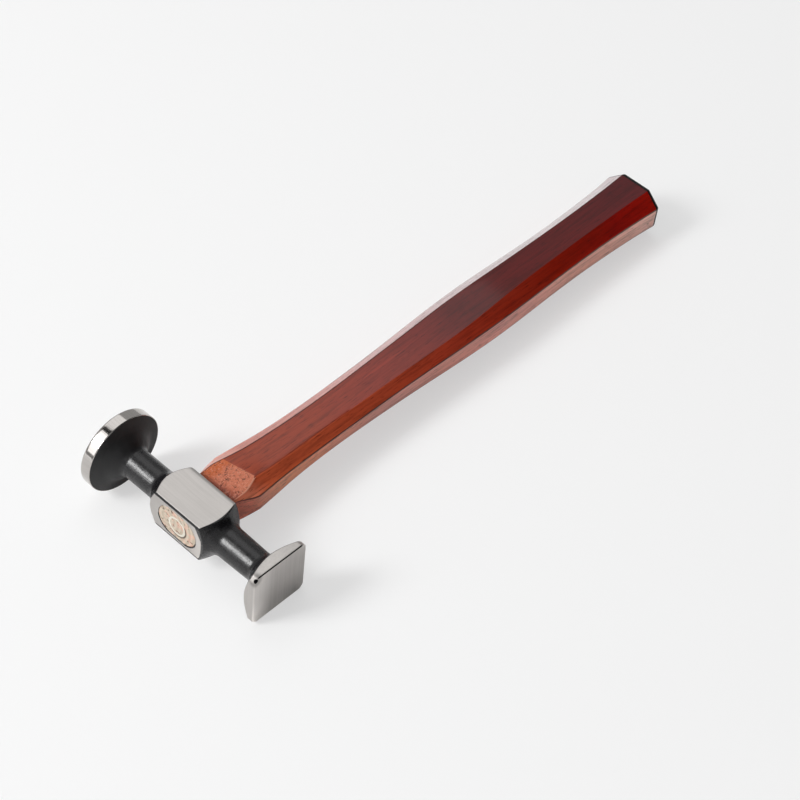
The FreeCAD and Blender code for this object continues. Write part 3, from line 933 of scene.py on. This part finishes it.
def bare_material(colours):
    """Dry, roughly cut wood behind the head: orange at the upper left, salmon, red-brown below."""
    shader = Shader("bare_cut_wood")
    x, y, _ = shader.axes()
    fleck = shader.noise((820, 480, 820), (0, 0, 0.6), detail=5, roughness=0.7)
    fine = shader.noise((1500, 900, 1500), roughness=0.6)
    patch = shader.noise(170, detail=2)
    place = shader.plus(x, shader.line(patch, 8 * MM, -4 * MM))
    base = shader.lay((0.50, 0.105, 0.028), colours.bare_wood, place, -8 * MM, -2 * MM)
    low = shader.plus(y, shader.times(place, -0.3))
    base = shader.lay(base, (0.30, 0.055, 0.028), low, 17 * MM, 11.5 * MM, 0.0, 0.85)
    base = shader.lay(base, (0.66, 0.30, 0.20), fine, 0.50, 0.34, 0.0, 0.5)
    # Dark flecks, and thin cracks that join some of them.
    dark = (0.085, 0.018, 0.010)
    base = shader.lay(base, dark, fleck, 0.57, 0.63, 0.0, 0.85)
    waves = shader.noise((420, 760, 420), (0, 0, -0.5), detail=2, distortion=0.6)
    crack = shader.fade(shader.math("ABSOLUTE", shader.minus(waves, 0.5)), 0.022, 0.008)
    base = shader.mix(shader.times(crack, shader.fade(fleck, 0.44, 0.52, 0.0, 0.9)), base, dark)
    shader.bump(shader.plus(fleck, shader.times(fine, 0.5)), 0.3 * MM, 0.8)
    return shader.set(Base_Color=base, Roughness=0.7)


def end_grain_material(colours):
    """The tenon's end: pale end grain with curved growth rings, pink patches and dark pores."""
    shader = Shader("end_grain_wood")
    x, _, z = shader.axes()
    rings = shader.fill(
        shader.node("ShaderNodeTexWave", wave_type="RINGS", rings_direction="Y"),
        Vector=shader.stretched(move=(6.5 * MM, 0, -1 * MM)), Scale=130, Distortion=2.0,
        Detail=2.0, Detail_Scale=300)
    pores = shader.noise((520, 200, 520), detail=2)
    base = shader.lay(colours.end_grain, (0.64, 0.33, 0.24), shader.noise((300, 100, 300)),
                      0.47, 0.60, 0.0, 0.7)
    base = shader.mix(shader.times(rings.outputs["Fac"], 0.4), base, (0.74, 0.66, 0.55))
    base = shader.lay(base, (0.10, 0.05, 0.03), pores, 0.60, 0.66, 0.0, 0.85)
    # Painted shadow: the wood just outside the ring wedge is dark at its lower right.
    around = shader.hypot(x, z)
    painted_ring_shadow = shader.times(shader.fade(around, 6.1 * MM, 5.8 * MM),
                           shader.fade(around, 5.2 * MM, 5.3 * MM),
                           shader.fade(shader.minus(x, z), 0.5 * MM, 3 * MM), 0.9)
    base = shader.mix(painted_ring_shadow, base, (0.05, 0.03, 0.02))
    shader.bump(pores, 0.08 * MM, 0.5)
    return shader.set(Base_Color=base, Roughness=0.55)


def butt_material():
    """Dark sealed end of the handle."""
    return two_tone_material(
        "sealed_butt", (1200, 200, 1200), ((0.003, 0.002, 0.002), (0.010, 0.005, 0.005)),
        0.05 * MM, (0.4, 0.7), Roughness=0.4, IOR=1.25)


class HAMMER_OT_handle(bpy.types.Operator):
    """Draw out the octagonal handle and fit its tenon"""
    bl_idname = "hammer.handle"
    bl_label = "Handle"

    def execute(self, context):
        size = context.scene.hammer_handle_sizes
        colours = context.scene.hammer_colours
        rear = context.scene.hammer_head_sizes.block_half_depth
        rings = handle_rings(rear)
        ends = (rings[0][0][1], rings[-1][0][1])
        handle = loft("octagonal_handle", rings)
        crease_edges(handle, ends)
        # A slot for each kind of face tells them apart until they are dressed.
        materials = (varnish_material(), bare_material(colours), butt_material())
        set_materials(handle, *(materials[slot] for slot in SLOTS))
        name_faces(handle, rings)
        modify(handle, "SUBSURF", levels=3, render_levels=3)
        round_edges(handle, size)
        round_butt(handle, size, ends[1])
        dress_handle(handle, materials, ends[1])

        # The tenon sits a little high in the eye, so that the gap shows along its lower edge.
        gap, slack = size.tenon_gap, size.tenon_slack
        lip = 0.1 * MM
        front = (size.eye_front_half_length - gap, size.eye_front_half_height - slack)
        tenon = obround_loft("tenon", (
            (-rear + 0.02 * MM, front[0] - lip, front[1] - lip),
            (-rear + 0.2 * MM, *front),
            (rear + 0.01 * MM, size.eye_rear_half_length - gap, size.eye_rear_half_height - slack),
        ))
        set_materials(tenon, end_grain_material(colours))
        for vert in tenon.data.vertices:
            vert.co.x += 0.08 * MM
            vert.co.z += size.tenon_rise
        finish(tenon, "varnished_wood")
        finish(handle, "varnished_wood", "handle")
        return {"FINISHED"}


# Wedges

class HAMMER_OT_wedges(bpy.types.Operator):
    """Set the wooden wedge and the steel ring wedge in the tenon"""
    bl_idname = "hammer.wedges"
    bl_label = "Wedges"

    def execute(self, context):
        size = context.scene.hammer_wedge_sizes
        front = -context.scene.hammer_head_sizes.block_half_depth

        # The wooden wedge: a flat bar that thins towards its tip.
        take()
        bpy.ops.mesh.primitive_cube_add(size=1)
        wedge = bpy.context.object
        wedge.name = "kerf_wedge"
        for vert in wedge.data.vertices:
            tip = vert.co.y > 0
            thick = size.wedge_tip if tip else size.wedge_front
            vert.co = (math.copysign(size.wedge_width / 2, vert.co.x),
                       front + (size.wedge_depth if tip else 0.03 * MM),
                       math.copysign(thick / 2, vert.co.z))
        modify(wedge, "BEVEL", width=0.15 * MM, segments=2, limit_method="ANGLE")
        clean_up(wedge, 1e-7)
        set_materials(wedge, two_tone_material(
            "wedge_wood", (1500, 200, 1500), ((0.66, 0.48, 0.34), (0.36, 0.2, 0.12)),
            0.05 * MM, Roughness=0.6))
        finish(wedge, "wedge_wood", "kerf_wedge")

        # The ring wedge: a section turned round the handle's axis.
        outer, bore, tip = size.ring_outer, size.ring_bore, size.ring_tip
        lip = 0.22 * MM
        deep = front + size.ring_depth
        section = [
            (bore, front + lip), (bore + 0.3 * lip, front + 0.3 * lip), (bore + lip, front),
            (outer - lip, front), (outer - 0.3 * lip, front + 0.3 * lip), (outer, front + lip),
            (tip, deep), (bore, deep), (bore, front + lip)]
        ring = turned("ring_wedge", [(r, y, 0) for r, y in section], 64, (0, 1, 0))
        set_materials(ring, two_tone_material(
            "ring_wedge_steel", 600, ((0.92, 0.89, 0.80), (0.66, 0.62, 0.52)),
            0.03 * MM, Metallic=1.0, Roughness=0.3))
        finish(ring, "ring_steel", "ring_wedge")
        return {"FINISHED"}


# Stage

# The lamps: how far each is turned up from the front in degrees, its distance, width and height
# in metres, and its radiance in W/(sr m2). All hang to the left of the plane across the head.
LAMP_SWING = math.radians(25.2)
LAMPS = {
    "key_softbox": (38.7, 2.4, 1.0, 2.53, 1.8),
    "key_core": (41, 2.2, 0.7, 0.75, 20.0),
    "top_softbox": (107, 2.2, 1.5, 1.65, 0.88),
}
# The room round the hammer: azimuth, elevation, inner and outer angle of a patch, and its grey.
ROOM = (
    (-116, 62, 9, 13, 0.03),
    (50, 36, 26, 52, 0.02),
    (-150, 0, 6, 20, 0.33),
)
ROOM_GREY = 0.46
# The floor's height under the eye, and its slopes along X and Y.
FLOOR = (-0.0176183, 0.0525762, 0.0167005)
LENS = {"sensor_width": 36, "lens": 94.232, "shift_x": 0.05225, "shift_y": 0.0261,
        "clip_start": 0.01, "clip_end": 20}
CAMERA_PLACE = (0.405877, -0.386910, 0.693781)
CAMERA_TURN = (0.7257718, -0.0696507, 0.7720705)


def direction(azimuth, elevation):
    """A unit vector: azimuth from +Y towards +X, both in degrees."""
    a, e = math.radians(azimuth), math.radians(elevation)
    return Vector((math.sin(a) * math.cos(e), math.cos(a) * math.cos(e), math.sin(e)))


def hang_lamp(name, turn, away, width, height, radiance):
    """A rectangular lamp that faces the head, with its width along the head."""
    take()
    turn = math.radians(turn)
    place = Vector((-math.sin(LAMP_SWING), -math.cos(turn) * math.cos(LAMP_SWING),
                    math.sin(turn) * math.cos(LAMP_SWING)))
    wide = (Vector((1, 0, 0)) - place * place.x).normalized()
    bpy.ops.object.light_add(type="AREA", location=place * away)
    lamp = bpy.context.object
    lamp.name = name
    lamp.data.shape = "RECTANGLE"
    lamp.data.size = width
    lamp.data.size_y = height
    lamp.data.energy = radiance * math.pi * width * height
    lamp.rotation_euler = Matrix((wide, place.cross(wide), place)).transposed().to_euler()


def floor_material(colours):
    """Pale paper: the camera sees it lifted to near white, and metal sees it pale."""
    shader = Shader("pale_paper")
    nodes = shader.tree.nodes
    rays = shader.node("ShaderNodeLightPath").outputs
    seen = rays["Is Camera Ray"]
    mirrored = shader.most(rays["Is Glossy Ray"], rays["Is Transmission Ray"])
    paper = shader.fill(shader.node("ShaderNodeBsdfDiffuse"), Color=shader.mix(
        seen, scaled(colours.floor, 0.86), scaled(colours.floor, 0.42)))
    glow = shader.fill(shader.node("ShaderNodeEmission"), Color=colours.floor,
                       Strength=shader.line(seen, 0.58, shader.times(mirrored, 0.2)))
    lifted = shader.node("ShaderNodeAddShader")
    shader.put(lifted.inputs[0], paper.outputs[0])
    shader.put(lifted.inputs[1], glow.outputs[0])
    shader.put(nodes["Material Output"].inputs["Surface"], lifted.outputs[0])
    nodes.remove(shader.surface)
    return shader.material


def room_world():
    """A grey room with two dark patches and a dimmer one in front at the left."""
    world = bpy.data.worlds.new("studio")
    world.use_nodes = True
    nodes = Nodes(world.node_tree, "Generated")
    grey = ROOM_GREY
    for azimuth, elevation, inner, outer, shade in ROOM:
        amount = nodes.fade(nodes.against("DOT_PRODUCT", direction(azimuth, elevation)),
                            math.cos(math.radians(outer)), math.cos(math.radians(inner)))
        grey = nodes.mix(amount, grey, shade, "FLOAT")
    tint = nodes.fill(nodes.node("ShaderNodeCombineColor"), Red=grey, Green=grey, Blue=grey)
    nodes.put(world.node_tree.nodes["Background"].inputs["Color"], tint.outputs[0])
    return world


class HAMMER_OT_stage(bpy.types.Operator):
    """Lay the floor, hang the lamps and place the camera"""
    bl_idname = "hammer.stage"
    bl_label = "Stage"

    def execute(self, context):
        scene = context.scene
        take()
        bpy.ops.mesh.primitive_plane_add(size=6)
        floor = bpy.context.object
        floor.name = "floor"
        height, slope_x, slope_y = FLOOR
        for vert in floor.data.vertices:
            vert.co.z = height + slope_x * vert.co.x + slope_y * vert.co.y
        set_materials(floor, floor_material(scene.hammer_colours))

        for name, lamp in LAMPS.items():
            hang_lamp(name, *lamp)
        scene.world = room_world()

        camera = bpy.data.objects.new("camera", bpy.data.cameras.new("camera"))
        scene.collection.objects.link(camera)
        for name, value in LENS.items():
            setattr(camera.data, name, value)
        camera.location = CAMERA_PLACE
        camera.rotation_euler = CAMERA_TURN
        scene.camera = camera
        scene.view_settings.view_transform = "Standard"
        return {"FINISHED"}


OPERATORS = (HAMMER_OT_head, HAMMER_OT_handle, HAMMER_OT_wedges, HAMMER_OT_stage)


class HAMMER_PT_panel(bpy.types.Panel):
    """Lists the pieces of the hammer"""
    bl_idname = "HAMMER_PT_panel"
    bl_label = "Hammer"
    bl_space_type = "VIEW_3D"
    bl_region_type = "UI"
    bl_category = "Hammer"

    def draw(self, context):
        column = self.layout.column()
        for operator in OPERATORS:
            column.operator(operator.bl_idname)


SETTINGS = {
    "hammer_head_sizes": HammerHeadSizes,
    "hammer_handle_sizes": HammerHandleSizes,
    "hammer_wedge_sizes": HammerWedgeSizes,
    "hammer_colours": HammerColours,
}
CLASSES = (*SETTINGS.values(), *OPERATORS, HAMMER_PT_panel)


def register():
    for each in CLASSES:
        bpy.utils.register_class(each)
    for name, group in SETTINGS.items():
        setattr(bpy.types.Scene, name, bpy.props.PointerProperty(type=group))


def unregister():
    for name in SETTINGS:
        delattr(bpy.types.Scene, name)
    for each in reversed(CLASSES):
        bpy.utils.unregister_class(each)


def main():
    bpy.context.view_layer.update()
    register()
    bpy.ops.hammer.head()
    bpy.ops.hammer.handle()
    bpy.ops.hammer.wedges()
    bpy.ops.hammer.stage()


if __name__ == "__main__":
    main()
